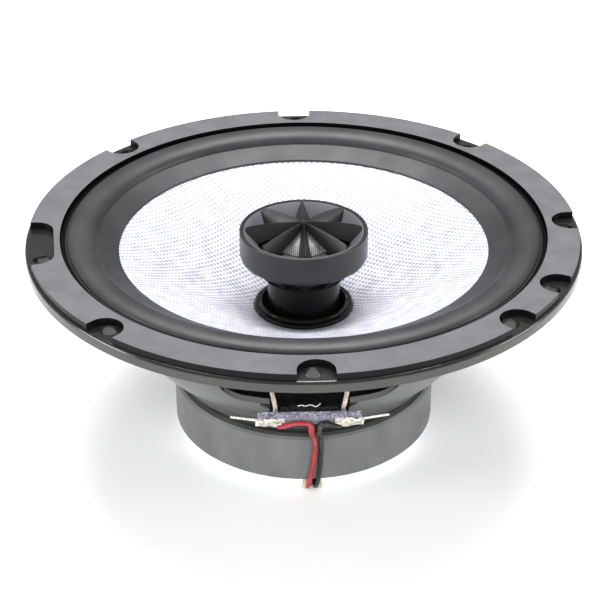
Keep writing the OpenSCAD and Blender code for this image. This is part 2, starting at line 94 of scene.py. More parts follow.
def make_studio():
    world = bpy.data.worlds.new("studio")
    bpy.context.scene.world = world
    world.use_nodes = True
    sky = world.node_tree.nodes["Background"].inputs
    sky["Color"].default_value = (1.0, 1.0, 1.0, 1.0)
    sky["Strength"].default_value = SKY_STRENGTH
    middle = (0.0, 0.0, 0.04)
    area_light("softbox_top", (0.0, 0.35, 1.0), middle, (0.8, 0.5), 15.0)
    area_light("softbox_front", (0.0, -1.0, 0.42), middle, (1.6, 0.8), 20.0, mirrored=False)
    area_light("softbox_left", (-0.90, -0.15, 0.30), middle, (0.4, 0.4), 4.5)
    area_light("softbox_right", (0.90, -0.10, 0.30), middle, (0.4, 0.4), 3.0)
    mesh = bpy.data.meshes.new("floor")
    s = FLOOR_REACH
    mesh.from_pydata([(-s, -s, 0), (s, -s, 0), (s, s, 0), (-s, s, 0)], [], [(0, 1, 2, 3)])
    floor = bpy.data.objects.new("floor", mesh)
    bpy.context.scene.collection.objects.link(floor)
    floor.location.z = -FLOOR_GAP
    paper = finish("floor_paper", (0.94, 0.94, 0.94), (0.92, 0.92, 0.92), 60.0, (0.8, 0.9), 1.5, 0.01)
    mesh.materials.append(paper)


# Materials: every finish is a Principled shader with tone, gloss and relief from its nodes

class Nodes:
    """A material's node tree, with short calls for the nodes that the finishes share."""

    def __init__(self, name):
        self.material = bpy.data.materials.new(name)
        self.material.use_nodes = True
        self.tree = self.material.node_tree
        self.shader = self.tree.nodes["Principled BSDF"]
        self.place = self.tree.nodes.new("ShaderNodeTexCoord").outputs["Object"]

    def plug(self, socket, value):
        if isinstance(value, bpy.types.NodeSocket):
            self.tree.links.new(value, socket)
        else:
            socket.default_value = value

    def noise(self, size_mm, detail=3.0, rough=0.55, stretch=(1.0, 1.0, 1.0)):
        spread = self.tree.nodes.new("ShaderNodeMapping")
        self.plug(spread.inputs["Vector"], self.place)
        spread.inputs["Scale"].default_value = stretch
        n = self.tree.nodes.new("ShaderNodeTexNoise")
        self.plug(n.inputs["Vector"], spread.outputs["Vector"])
        n.inputs["Scale"].default_value = 1.0 / (size_mm * MM)
        n.inputs["Detail"].default_value = detail
        n.inputs["Roughness"].default_value = rough
        return n.outputs["Fac"]

    def math(self, op, a, b=0.0):
        n = self.tree.nodes.new("ShaderNodeMath")
        n.operation = op
        self.plug(n.inputs[0], a)
        self.plug(n.inputs[1], b)
        return n.outputs[0]

    def span(self, value, low, high, to_low, to_high):
        n = self.tree.nodes.new("ShaderNodeMapRange")
        self.plug(n.inputs["Value"], value)
        for key, v in (("From Min", low), ("From Max", high), ("To Min", to_low), ("To Max", to_high)):
            n.inputs[key].default_value = v
        return n.outputs["Result"]

    def ramp(self, value, stops):
        n = self.tree.nodes.new("ShaderNodeValToRGB")
        self.plug(n.inputs["Fac"], value)
        ends = n.color_ramp.elements
        while len(ends) < len(stops):
            ends.new(0.5)
        for e, (at, colour) in zip(ends, stops):
            e.position = at
            e.color = (*colour, 1.0)
        return n.outputs["Color"]

    def mix(self, share, a, b):
        n = self.tree.nodes.new("ShaderNodeMix")
        n.data_type = "RGBA"
        self.plug(n.inputs["Factor"], share)
        for key, v in ((6, a), (7, b)):
            self.plug(n.inputs[key], v if isinstance(v, bpy.types.NodeSocket) else (*v, 1.0))
        return n.outputs[2]

    def axes(self, source=None):
        n = self.tree.nodes.new("ShaderNodeSeparateXYZ")
        self.plug(n.inputs[0], source or self.place)
        return n.outputs[0], n.outputs[1], n.outputs[2]

    def facing_up(self):
        g = self.tree.nodes.new("ShaderNodeNewGeometry")
        return self.axes(g.outputs["Normal"])[2]

    def relief(self, height, depth_mm, below=None):
        n = self.tree.nodes.new("ShaderNodeBump")
        n.inputs["Strength"].default_value = 1.0
        n.inputs["Distance"].default_value = depth_mm * MM
        self.plug(n.inputs["Height"], height)
        if below is not None:
            self.plug(n.inputs["Normal"], below)
        return n.outputs["Normal"]

    def soft_edges(self, radius_mm):
        n = self.tree.nodes.new("ShaderNodeBevel")
        n.samples = 4
        n.inputs["Radius"].default_value = radius_mm * MM
        return n.outputs["Normal"]

    def radius(self):
        """The distance from the speaker's axis, in metres."""
        x, y, _ = self.axes()
        squares = self.math("ADD", self.math("MULTIPLY", x, x), self.math("MULTIPLY", y, y))
        return self.math("SQRT", squares)

    def weave(self, pitch_mm, turn=0.0):
        """+1 where a lengthwise yarn is on top, -1 where a crosswise one is, 0 between them."""
        x, y, _ = self.axes()
        c, s, k = math.cos(turn), math.sin(turn), math.pi / (pitch_mm * MM)
        u = self.math("ADD", self.math("MULTIPLY", x, k * c), self.math("MULTIPLY", y, k * s))
        v = self.math("SUBTRACT", self.math("MULTIPLY", y, k * c), self.math("MULTIPLY", x, k * s))
        return self.math("MULTIPLY", self.math("SINE", u), self.math("SINE", v))


def finish(name, tone_a, tone_b, patch_mm, rough, grain_mm, depth_mm, metallic=0.0, ior=1.5,
           stretch=(1.0, 1.0, 1.0), edge_mm=0.0):
    """A finish whose tone and gloss drift between two values, with a fine relief and soft edges."""
    n = Nodes(name)
    drift = n.noise(patch_mm, stretch=stretch)
    n.plug(n.shader.inputs["Base Color"], n.ramp(drift, [(0.35, tone_a), (0.65, tone_b)]))
    n.plug(n.shader.inputs["Roughness"], n.span(n.noise(patch_mm * 0.6), 0.3, 0.7, *rough))
    edges = n.soft_edges(edge_mm) if edge_mm else None
    n.plug(n.shader.inputs["Normal"], n.relief(n.noise(grain_mm, stretch=stretch), depth_mm, edges))
    n.shader.inputs["Metallic"].default_value = metallic
    n.shader.inputs["IOR"].default_value = ior
    return n.material


def woven(name, light, dark, pitch_mm, depth_mm, rough, turn=0.0, coat=0.0):
    """Cloth of two sets of yarns, with painted sheen: the crosswise yarns are painted darker, as if they
    caught less light.
    """
    n = Nodes(name)
    over = n.weave(pitch_mm, turn)
    uneven = n.noise(pitch_mm * 4.0, detail=2.0)
    # Painted sheen: the tone is lighter where a lengthwise yarn is on top and darker where a crosswise one
    # is; the noise adds random tone.
    share = n.math("ADD", n.math("MULTIPLY", over, 0.5), n.math("MULTIPLY", uneven, 0.9))
    n.plug(n.shader.inputs["Base Color"], n.ramp(share, [(0.12, dark), (0.62, light)]))
    n.plug(n.shader.inputs["Roughness"], n.span(uneven, 0.3, 0.7, *rough))
    yarns = n.relief(n.math("ABSOLUTE", over), depth_mm)
    fibres = n.relief(n.noise(pitch_mm * 0.35, detail=2.0), depth_mm * 0.2, yarns)
    n.plug(n.shader.inputs["Normal"], fibres)
    n.shader.inputs["Coat Weight"].default_value = coat
    n.shader.inputs["Coat Roughness"].default_value = 0.25
    return n.material


def ring_finish():
    """A grey grained top face, lighter as painted sheen, on a dull black body whose sides carry painted
    shade.
    """
    n = Nodes("ring_painted_sheen_top_shade_sides")
    sheen_top_mask = n.span(n.facing_up(), 0.5, 0.8, 0.0, 1.0)
    grain = n.ramp(n.noise(7.0), [(0.35, (0.112, 0.110, 0.118)), (0.65, (0.136, 0.134, 0.143))])
    speck = n.span(n.noise(0.7, detail=1.0), 0.70, 0.78, 0.0, 0.25)
    face = n.mix(speck, grain, (0.20, 0.20, 0.21))
    # Painted light: faces that look up get the grey tone as painted sheen, and the sides near-black as
    # painted shade.
    n.plug(n.shader.inputs["Base Color"], n.mix(sheen_top_mask, (0.003, 0.003, 0.003), face))
    n.plug(n.shader.inputs["Roughness"], n.span(sheen_top_mask, 0.0, 1.0, 0.30, 0.58))
    n.plug(n.shader.inputs["Specular IOR Level"], n.span(sheen_top_mask, 0.0, 1.0, 0.12, 0.16))
    n.plug(n.shader.inputs["Normal"], n.relief(n.noise(0.5), 0.012, n.soft_edges(0.18)))
    return n.material


def rubber_finish():
    """Satin rubber with fine moulding lines, and painted shade, near-black with little shine, in the groove
    beside the mounting ring.
    """
    n = Nodes("rubber_satin")
    r = n.radius()
    # Painted shade: beyond the roll's foot the rubber is painted near-black with weak specular, for the
    # shaded groove under the ring's edge.
    groove_shade_mask = n.span(r, 70.2 * MM, 70.7 * MM, 0.0, 1.0)
    tone = n.ramp(n.noise(16.0), [(0.35, (0.020, 0.020, 0.023)), (0.65, (0.032, 0.032, 0.036))])
    n.plug(n.shader.inputs["Base Color"], n.mix(groove_shade_mask, tone, (0.002, 0.002, 0.002)))
    n.plug(n.shader.inputs["Roughness"], n.span(n.noise(10.0), 0.3, 0.7, 0.40, 0.50))
    n.plug(n.shader.inputs["Specular IOR Level"], n.span(groove_shade_mask, 0.0, 1.0, 0.42, 0.05))
    lines = n.relief(n.math("SINE", n.math("MULTIPLY", r, 2 * math.pi / (0.6 * MM))), 0.003)
    n.plug(n.shader.inputs["Normal"], n.relief(n.noise(0.8), 0.008, lines))
    return n.material


def turned_finish():
    """Charcoal plastic from a mould that was turned, so fine rings scatter the light."""
    n = Nodes("plastic_turned_charcoal")
    n.plug(n.shader.inputs["Base Color"],
           n.ramp(n.noise(6.0), [(0.35, (0.095, 0.092, 0.103)), (0.65, (0.125, 0.122, 0.134))]))
    n.plug(n.shader.inputs["Roughness"], n.span(n.noise(4.0), 0.3, 0.7, 0.40, 0.52))
    rings = n.math("SINE", n.math("MULTIPLY", n.radius(), 2 * math.pi / (0.32 * MM)))
    n.plug(n.shader.inputs["Normal"], n.relief(rings, 0.012, n.soft_edges(0.12)))
    return n.material


def laminate_finish():
    """Resin laminate, speckled all over."""
    n = Nodes("laminate_speckled")
    speckle = n.noise(0.55, detail=4.0, rough=0.7)
    tones = [(0.36, (0.05, 0.047, 0.065)), (0.5, (0.16, 0.155, 0.20)), (0.64, (0.42, 0.41, 0.48))]
    n.plug(n.shader.inputs["Base Color"], n.ramp(speckle, tones))
    n.plug(n.shader.inputs["Roughness"], n.span(speckle, 0.3, 0.7, 0.35, 0.6))
    n.plug(n.shader.inputs["Normal"], n.relief(speckle, 0.05))
    return n.material


def make_finishes():
    f = {}
    f["basket_black"] = finish("paint_gloss_black", (0.006, 0.006, 0.006), (0.012, 0.012, 0.011), 24.0,
                               (0.15, 0.24), 1.8, 0.008, ior=1.66, edge_mm=0.2)
    f["ring_grey"] = ring_finish()
    f["rubber"] = rubber_finish()
    f["cone_weave"] = woven("weave_glass_white", (0.72, 0.72, 0.77), (0.30, 0.30, 0.39), 0.95,
                            0.09, (0.35, 0.55), coat=0.2)
    # Painted shade: the spider's cloth is painted near-black to stand for the shade inside the basket.
    f["spider_cloth"] = woven("cloth_spider_painted_shade", (0.014, 0.014, 0.014), (0.006, 0.006, 0.006), 0.6,
                              0.05, (0.6, 0.8))
    f["former_film"] = finish("film_dark", (0.012, 0.011, 0.009), (0.024, 0.022, 0.018), 6.0, (0.2, 0.35),
                              0.8, 0.004)
    f["copper"] = finish("wire_enamelled", (0.60, 0.22, 0.07), (0.75, 0.34, 0.13), 2.0, (0.2, 0.35),
                         0.25, 0.02, metallic=1.0, stretch=(0.2, 0.2, 1.0))
    f["black_adhesive"] = finish("adhesive_black", (0.001, 0.001, 0.001), (0.003, 0.003, 0.002), 5.0,
                                 (0.03, 0.08), 2.2, 0.04, ior=1.45)
    f["plate_steel"] = finish("steel_dark_plated", (0.05, 0.05, 0.05), (0.09, 0.09, 0.09), 8.0, (0.3, 0.45),
                              0.6, 0.006, metallic=0.9)
    f["ferrite"] = finish("ferrite_ground", (0.078, 0.083, 0.081), (0.108, 0.113, 0.111), 9.0, (0.40, 0.55),
                          0.5, 0.02, ior=1.6, stretch=(1.0, 1.0, 0.45))
    f["zinc_steel"] = finish("steel_zinc_plated", (0.80, 0.87, 0.89), (0.91, 0.95, 0.95), 10.0,
                             (0.25, 0.38), 0.7, 0.008, metallic=0.35, edge_mm=0.3)
    f["tweeter_plastic"] = finish("plastic_satin_charcoal", (0.009, 0.009, 0.010), (0.014, 0.014, 0.016),
                                  12.0, (0.30, 0.40), 0.35, 0.006, edge_mm=0.12)
    f["stem_plastic"] = finish("plastic_gloss_black", (0.002, 0.002, 0.002), (0.004, 0.004, 0.004), 9.0,
                               (0.20, 0.34), 2.5, 0.02, ior=1.4)
    f["dome_cloth"] = woven("cloth_dome_silvered", (0.34, 0.34, 0.355), (0.05, 0.05, 0.055), 0.42, 0.06,
                            (0.3, 0.45), turn=math.pi / 4, coat=0.3)
    f["roll_cloth"] = woven("cloth_roll_coated", (0.008, 0.008, 0.008), (0.003, 0.003, 0.003), 0.5, 0.03,
                            (0.4, 0.6))
    f["board_laminate"] = laminate_finish()
    f["tinned_brass"] = finish("tin_bright", (0.66, 0.64, 0.58), (0.88, 0.87, 0.82), 1.1, (0.2, 0.36),
                               0.6, 0.03, metallic=0.5, edge_mm=0.12)
    f["solder"] = finish("solder_bright", (0.40, 0.35, 0.26), (0.86, 0.84, 0.77), 1.3, (0.14, 0.30),
                         0.9, 0.10, metallic=0.85)
    f["tinsel"] = finish("tinsel_braid", (0.30, 0.23, 0.16), (0.84, 0.80, 0.72), 0.45, (0.25, 0.45),
                         0.2, 0.03, metallic=0.55)
    f["red_insulation"] = finish("pvc_red", (0.24, 0.016, 0.022), (0.31, 0.028, 0.034), 4.0, (0.22, 0.34),
                                 0.9, 0.012)
    f["red_sleeve"] = finish("sleeve_red", (0.30, 0.024, 0.030), (0.38, 0.036, 0.042), 3.0, (0.2, 0.32),
                             0.9, 0.02)
    f["black_insulation"] = finish("pvc_black_green", (0.005, 0.010, 0.007), (0.012, 0.018, 0.014), 4.0,
                                   (0.2, 0.32), 0.9, 0.012)
    f["capacitor_black"] = finish("sleeve_black", (0.001, 0.001, 0.001), (0.003, 0.003, 0.003), 2.0,
                                  (0.4, 0.6), 1.2, 0.05, ior=1.2)
    f["beige_glue"] = finish("glue_beige", (0.34, 0.28, 0.18), (0.46, 0.40, 0.29), 1.2, (0.3, 0.5),
                             0.6, 0.05)
    return f


# Meshes

def add_mesh(name, vertices, faces, sharp=35.0):
    mesh = bpy.data.meshes.new(name)
    mesh.from_pydata([tuple(v) for v in vertices], [], faces)
    mesh.validate()
    mesh.shade_smooth()
    mesh.set_sharp_from_angle(angle=math.radians(sharp))
    obj = bpy.data.objects.new(name, mesh)
    bpy.context.scene.collection.objects.link(obj)
    return obj


def skin(first, loops, around):
    """Faces between successive loops of points, and one across each end."""
    faces = []
    for i in range(loops - 1):
        for k in range(around):
            a, b = first + i * around, (k + 1) % around
            faces.append((a + k, a + around + k, a + around + b, a + b))
    last = first + (loops - 1) * around
    faces.append(tuple(first + k for k in range(around)))
    faces.append(tuple(last + k for k in reversed(range(around))))
    return faces


def soften(outline, cut):
    """Rounds the corners of a closed outline, each over at most the length cut."""
    steps, nearly_straight = 3, 0.97
    pts = [np.array(p, float) for p in outline]
    out = []
    for i, b in enumerate(pts):
        before, after = b - pts[i - 1], pts[(i + 1) % len(pts)] - b
        la, lb = np.linalg.norm(before), np.linalg.norm(after)
        if before @ after > nearly_straight * la * lb:
            out.append(b)
            continue
        d = min(cut, 0.45 * la, 0.45 * lb)
        p, q = b - before / la * d, b + after / lb * d
        for k in range(steps + 1):
            t = k / steps
            out.append((1 - t) ** 2 * p + 2 * t * (1 - t) * b + t * t * q)
    return out


def lathe(name, outline, segments, wobble=None):
    """A closed outline of (radius, height) in millimetres, turned about the axis.
    wobble(angle, r, z) may move a point by a little, to (r, z)."""
    vertices = []
    for i in range(segments):
        a = 2 * math.pi * i / segments
        for r, z in outline:
            if wobble:
                r, z = wobble(a, r, z)
            vertices.append((r * math.cos(a) * MM, r * math.sin(a) * MM, z * MM))
    m = len(outline)
    faces = []
    for i in range(segments):
        j = (i + 1) % segments
        for k in range(m):
            n = (k + 1) % m
            faces.append((i * m + k, j * m + k, j * m + n, i * m + n))
    return add_mesh(name, vertices, faces)


def smooth_path(route, step=0.4):
    """A Catmull-Rom curve through the route's points, in millimetres."""
    p = [np.array(q, float) for q in route]
    p = [2 * p[0] - p[1]] + p + [2 * p[-1] - p[-2]]
    out = []
    for a, b, c, d in zip(p, p[1:], p[2:], p[3:]):
        n = max(2, int(np.linalg.norm(c - b) / step))
        for k in range(n):
            t = k / n
            out.append(0.5 * (2 * b + (c - a) * t + (2 * a - 5 * b + 4 * c - d) * t * t
                              + (3 * b - a - 3 * c + d) * t ** 3))
    out.append(p[-2])
    return np.array(out)


def frames_along(path):
    """Directions along a path, and two crosswise ones that don't twist."""
    ahead = np.gradient(path, axis=0)
    ahead /= np.linalg.norm(ahead, axis=1)[:, None]
    side = np.cross(ahead[0], (0.0, 1.0, 0.0) if abs(ahead[0][0]) > 0.8 else (1.0, 0.0, 0.0))
    sides = []
    for t in ahead:
        side = side - (side @ t) * t
        side = side / np.linalg.norm(side)
        sides.append(side)
    sides = np.array(sides)
    return ahead, sides, np.cross(ahead, sides)


def sweep(path, radius, around, first=0):
    """Vertices and faces of a round tube along a path with closed, slightly domed ends."""
    ahead, u, v = frames_along(path)
    path = np.vstack([path[:1], path, path[-1:]])
    ahead, u, v = (np.vstack([x[:1], x, x[-1:]]) for x in (ahead, u, v))
    end_r = radius * 0.75
    radii = [end_r] + [radius] * (len(path) - 2) + [end_r]
    path[0] -= ahead[0] * end_r * 0.15
    path[-1] += ahead[-1] * end_r * 0.15
    vertices = []
    for p, a, b, r in zip(path, u, v, radii):
        for k in range(around):
            t = 2 * math.pi * k / around
            vertices.append((p + r * (math.cos(t) * a + math.sin(t) * b)) * MM)
    # These loops run the other way round, so every face is turned over
    outward = [face[:1] + face[:0:-1] for face in skin(first, len(path), around)]
    return vertices, outward


def tube(name, route, radius, around=18):
    vertices, faces = sweep(smooth_path(route), radius, around)
    return add_mesh(name, vertices, faces, 60.0)


def braid(name, route, radius):
    """Strands that wind both ways round a core and pass over and under each other."""
    strands, lay, weave_depth = 10, 5.0, 0.07
    path = smooth_path(route, 0.16)
    ahead, u, v = frames_along(path)
    along = np.concatenate([[0.0], np.cumsum(np.linalg.norm(np.diff(path, axis=0), axis=1))])
    strand_r = radius * 0.24
    vertices, faces = sweep(path, radius * 0.5, 10)
    for k in range(strands):
        way = 1 if k % 2 else -1
        turn = way * 2 * math.pi * along / lay + 2 * math.pi * (k // 2) / (strands / 2)
        over = way * np.sin(strands / 2 * (2 * math.pi * along / lay))
        lift = radius - strand_r - weave_depth + weave_depth * over
        centre = path + (lift * np.cos(turn))[:, None] * u + (lift * np.sin(turn))[:, None] * v
        vs, fs = sweep(centre, strand_r, 7, len(vertices))
        vertices += vs
        faces += fs
    return add_mesh(name, vertices, faces, 60.0)


def ripple(p, seed):
    """A smooth unevenness between about -1 and 1 at a point in millimetres."""
    return (math.sin(1.9 * p[0] + seed) * math.cos(2.3 * p[1] - seed * 0.7)
            + 0.5 * math.sin(4.1 * p[2] + 1.3 * seed + 2.2 * p[0])) / 1.5


def lumps(name, parts, rough, lean=0.0):
    """Something that was molten, as rounded uneven lumps that run together.
    Each part is its centre, its three half sizes and its own unevenness."""
    rings, around = 18, 28
    vertices, faces = [], []
    pole_gap = 0.02
    for centre, size, seed in parts:
        first = len(vertices)
        for i in range(rings + 1):
            lat = math.pi * (i + pole_gap) / (rings + 2 * pole_gap)
            for k in range(around):
                lon = 2 * math.pi * k / around
                d = np.array([math.sin(lat) * math.cos(lon), math.sin(lat) * math.sin(lon),
                              math.cos(lat)])
                p = d * (1 + rough * ripple(d * 1.9, seed)) * np.array(size)
                y = p[1] * math.cos(lean) - p[2] * math.sin(lean)
                z = p[1] * math.sin(lean) + p[2] * math.cos(lean)
                vertices.append((np.array([p[0], y, z]) + np.array(centre)) * MM)
        faces += skin(first, rings + 1, around)
    return add_mesh(name, vertices, faces, 80.0)


# Dressing of the pieces

def dress(obj, slot, body, *nodes, seen=None):
    """Puts a new piece on its body, gives it the slot's finish, unless seen gives another, and hides the
    CAD nodes that it stands for."""
    obj.data.materials.clear()
    obj.data.materials.append(seen or FINISH[slot])
    if body:
        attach(obj, body)
    if nodes:
        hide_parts(*nodes)
    return obj


def bend_radially(obj):
    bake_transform(obj)
    co = np.zeros(len(obj.data.vertices) * 3, np.float32)
    obj.data.vertices.foreach_get("co", co)
    co = co.reshape(-1, 3)


def top_of(node):
    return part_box(node)[1].z / MM


def foot_of(node):
    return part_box(node)[0].z / MM


def reach_of(node):
    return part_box(node)[1].x / MM


make_camera()
FINISH = make_finishes()
make_studio()

NODE_SLOTS = {
    "basket": "basket_black", "mounting_ring": "ring_grey", "surround": "rubber",
    "spider": "spider_cloth", "cone": "cone_weave", "coil_former": "former_film",
    "coil_winding": "copper", "neck_adhesive": "black_adhesive", "top_plate": "plate_steel",
    "magnet": "ferrite", "yoke": "zinc_steel", "basket_rivets": "zinc_steel",
    "stem": "stem_plastic", "stem_nut": "zinc_steel", "tweeter_housing": "tweeter_plastic",
    "tweeter_guard": "tweeter_plastic", "tweeter_cup": "zinc_steel", "tweeter_magnet": "zinc_steel",
    "tweeter_pole_plate": "zinc_steel", "tweeter_frame_ring": "stem_plastic",
    "tweeter_dome": "dome_cloth", "tweeter_dome_roll": "roll_cloth", "tweeter_coil": "copper",
    "terminal_board": "board_laminate", "board_rivets": "tinned_brass", "lug_positive": "tinned_brass",
    "lug_negative": "tinned_brass", "solder_joints": "solder", "tinsel_lead_left": "tinsel",
    "tinsel_lead_right": "tinsel", "capacitor": "capacitor_black", "wire_red": "red_insulation",
    "wire_black": "black_insulation", "wire_sleeve": "red_sleeve", "wire_adhesive": "beige_glue",
}
for node_name, node_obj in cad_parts.items():
    for slot_of_node in node_obj.material_slots:
        slot_of_node.material = FINISH[NODE_SLOTS[node_name]]


# The cone's line, which its front face, the surround's landing strip and the neck bead follow

NECK_R, NECK_Z = 15.3, 41.0
OPENING_R, OPENING_Z = 55.0, 61.8
CONE_SLOPE = (OPENING_Z - NECK_Z) / (OPENING_R - NECK_R)
CONE_EDGE_R = 59.6
NECK_BORE_R = 13.05


def cone_top(r):
    return NECK_Z + (r - NECK_R) * CONE_SLOPE


# Surround: landing strip, crease, half roll and the skirt under the mounting ring

def surround_outline():
    thick, strip_slope, roll_h, glue_gap = 0.7, 0.43, 2.4, 0.02
    crease_r, roll_end_r, skirt_r = 61.3, 70.2, reach_of("surround")
    flange_z = FLANGE_TOP / MM
    crease_z = OPENING_Z + thick + (crease_r - OPENING_R) * strip_slope
    skirt_z = flange_z + thick
    mid, half = (crease_r + roll_end_r) / 2, (roll_end_r - crease_r) / 2
    foot_r = CONE_EDGE_R + 0.2
    steps = 28

    def roll(k, lift):
        a = math.pi * (1 - k / steps)
        u = k / steps
        return (mid + (half - lift * 0.5) * math.cos(a),
                crease_z * (1 - u) + skirt_z * u + roll_h * math.sin(a) - lift)

    over = [roll(k, 0.0) for k in range(steps + 1)]
    under = [roll(k, thick) for k in range(steps, -1, -1)]
    return ([(OPENING_R, OPENING_Z + glue_gap), (OPENING_R, OPENING_Z + thick)] + over
            + [(skirt_r, skirt_z), (skirt_r, flange_z), (roll_end_r + 0.3, flange_z)] + under
            + [(foot_r, cone_top(foot_r) + glue_gap)])


surround = lathe("surround_rubber", soften(surround_outline(), 0.25), 256)
dress(surround, "rubber", None, "surround")
bend_radially(surround)


# Cone: a thin straight shell, whose finish shows the yarns

def cone_outline():
    thick = 0.6
    radii = np.linspace(NECK_BORE_R, CONE_EDGE_R, 60)
    return [(r, cone_top(r) - thick) for r in radii] + [(r, cone_top(r)) for r in radii[::-1]]


cone = lathe("cone_woven", cone_outline(), 256)
dress(cone, "cone_weave", "cone_assembly", "cone")


# Neck bead: black adhesive that ran a little unevenly round the former

def bead_outline():
    return [(NECK_BORE_R, cone_top(NECK_BORE_R)), (NECK_R, NECK_Z), (15.28, 41.35), (15.1, 41.72),
            (14.75, 41.98), (14.35, 42.06), (13.95, 41.98), (13.6, 41.84), (13.3, 41.9),
            (13.12, 42.1), (NECK_BORE_R, 42.2)]


def bead_wobble(a, r, z):
    """The bead's foot on the cone wanders in and out, and its crest with it."""
    share = max(0.0, r - 13.4) / 1.9
    run = 0.06 * math.sin(5 * a + 0.6) + 0.035 * math.sin(13 * a) + 0.02 * math.sin(29 * a + 1.0)
    return r - share * (0.1 + run), z - share * run * 0.6


bead = lathe("neck_bead", bead_outline(), 256, bead_wobble)
dress(bead, "black_adhesive", "cone_assembly", "neck_adhesive")


# Spider: corrugated cloth between the former and the basket's ledge

def spider_outline():
    inner, flat_r, edge_r, outer = NECK_BORE_R, 16.05, 44.2, 47.6
    z0, thick, waves, wave_h = 32.6, 0.5, 6, 0.9
    steps = waves * 14

    def wave(k, lift):
        share = k / steps
        height = z0 + lift + wave_h * math.sin(2 * math.pi * waves * share)
        return (flat_r + (edge_r - flat_r) * share, height)

    under = [wave(k, 0.0) for k in range(1, steps)]
    over = [wave(k, thick) for k in range(steps - 1, 0, -1)]
    return ([(inner, z0), (flat_r, z0)] + under + [(edge_r, z0), (outer, z0)]
            + [(outer, z0 + thick), (edge_r, z0 + thick)] + over
            + [(flat_r, z0 + thick), (inner, z0 + thick)])


spider = lathe("spider_cloth", spider_outline(), 160)
dress(spider, "spider_cloth", None, "spider")
bend_radially(spider)


# Tweeter's dome and its edge roll

def dome_outline():
    width, rise, thick, steps, pole_r = 8.8, 3.9, 0.25, 24, 0.02
    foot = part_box("tweeter_frame_ring")[0].z / MM + 0.1
    ball = (width * width + rise * rise) / (2 * rise)
    spread = math.asin(width / ball)
    centre = foot + rise - ball

    def arc(r, k):
        return (r * math.sin(spread * k / steps), centre + r * math.cos(spread * k / steps))

    outer = [arc(ball, k) for k in range(steps, 0, -1)]
    inner = [arc(ball - thick, k) for k in range(1, steps + 1)]
    return outer + [(pole_r, centre + ball), (pole_r, centre + ball - thick)] + inner


dome = lathe("tweeter_dome_woven", dome_outline(), 128)
dress(dome, "dome_cloth", "tweeter_diaphragm", "tweeter_dome")


def dome_roll_outline():
    mid, half, rise, thick, steps = 11.0, 2.15, 1.3, 0.25, 20
    z0 = foot_of("tweeter_dome_roll")
    turns = [math.pi * k / steps for k in range(steps + 1)]
    over = [(mid - half * math.cos(a), z0 + rise * math.sin(a)) for a in turns]
    under = [(mid + (half - thick) * math.cos(a), z0 + (rise - thick) * math.sin(a)) for a in turns]
    return over + under


dome_roll = lathe("tweeter_edge_roll", dome_roll_outline(), 128)
dress(dome_roll, "roll_cloth", None, "tweeter_dome_roll")
bend_radially(dome_roll)


# Tweeter's guard: a flared ring, eight leaf-shaped ribs with arched ridges, and a hub

GUARD_RIBS = 8
RIB_WIDEST_R = 14.0
GUARD_R = reach_of("tweeter_guard")
GUARD_TOP = top_of("tweeter_guard")
GUARD_RIM = top_of("tweeter_housing")


def rib_section(r):
    """The loop of points across a rib at a radius: its ridge, its hollow sides and its underside."""
    rise = GUARD_TOP - GUARD_RIM + 0.1
    ridge = GUARD_TOP - rise + rise * math.sqrt(max(0.0, 1 - (r / (GUARD_R - 0.1)) ** 2))
    share = min(r / RIB_WIDEST_R, 1.0)
    wide = 0.42 + 1.68 * share ** 0.8
    depth = ridge - (GUARD_TOP - 1.6 - 4.7 * share)
    half = [(0.05, ridge - 0.01), (wide * 0.30, ridge - depth * 0.33),
            (wide * 0.62, ridge - depth * 0.64), (wide * 0.90, ridge - depth * 0.90),
            (wide, ridge - depth)]
    return half + [(-x, z) for x, z in reversed(half)]


def ribs_mesh():
    vertices, faces = [], []
    stations = np.concatenate([np.linspace(0.15, RIB_WIDEST_R, 22), np.linspace(14.6, 17.4, 8)])
    around = len(rib_section(RIB_WIDEST_R))
    for rib in range(GUARD_RIBS):
        turn = 2 * math.pi * rib / GUARD_RIBS
        c, s = math.cos(turn), math.sin(turn)
        first = len(vertices)
        for r in stations:
            for x, z in rib_section(r):
                vertices.append(((x * c + r * s) * MM, (x * s - r * c) * MM, z * MM))
        faces += skin(first, len(stations), around)
    return add_mesh("tweeter_guard_ribs", vertices, faces, 25.0)


ring_outline = [(14.0, 62.3), (GUARD_R, 62.3), (GUARD_R, GUARD_RIM - 0.25),
                (GUARD_R - 0.35, GUARD_RIM - 0.22), (16.2, GUARD_RIM - 1.75), (14.5, 63.5), (14.0, 63.0)]
hub_outline = [(0.02, 68.95), (0.4, 69.0), (0.75, 69.2), (0.9, 69.05), (0.9, 67.7), (0.02, 67.7)]
dress(ribs_mesh(), "tweeter_plastic", "chassis", "tweeter_guard")
guard_ring = lathe("tweeter_guard_ring", soften(ring_outline, 0.12), 160)
dress(guard_ring, "tweeter_plastic", "chassis", "tweeter_guard", seen=turned_finish())
guard_hub = lathe("tweeter_guard_hub", hub_outline, 48)
dress(guard_hub, "tweeter_plastic", "chassis", "tweeter_guard")


# Wires, sleeve and tinsel leads, along the CAD's routes

